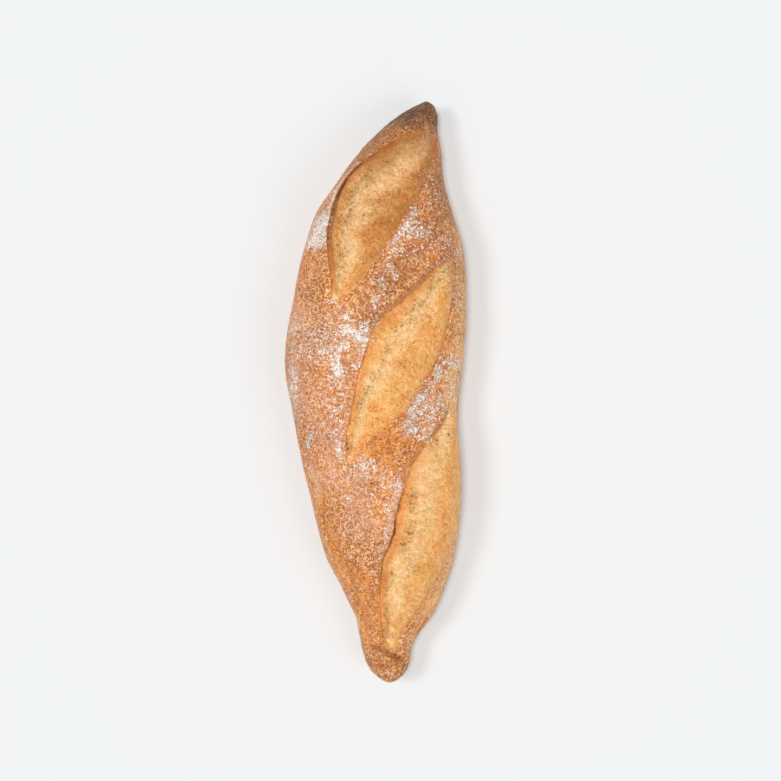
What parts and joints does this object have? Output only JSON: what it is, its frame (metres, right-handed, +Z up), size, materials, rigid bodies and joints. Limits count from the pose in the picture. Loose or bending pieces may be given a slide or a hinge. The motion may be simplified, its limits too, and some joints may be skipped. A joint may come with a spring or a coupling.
{
  "type": "baguette",
  "caption": "Short, wide, hand-shaped loaf of white bread with a flat sole, a domed crust opened by slanting slashes, and raised tapering ends.",
  "frame": {"origin": "on the plane of the flat sole, under the middle of the loaf's length and width", "axes": "+Y along the loaf towards its slim dark end, +Z up through the crown, +X to the right when the slim end points away"},
  "size_m": [0.103, 0.33, 0.059],
  "materials": {
    "crust": "matte"
  },
  "bodies": {
    "root": {"loaf": "crust"}
  },
  "joints": []
}
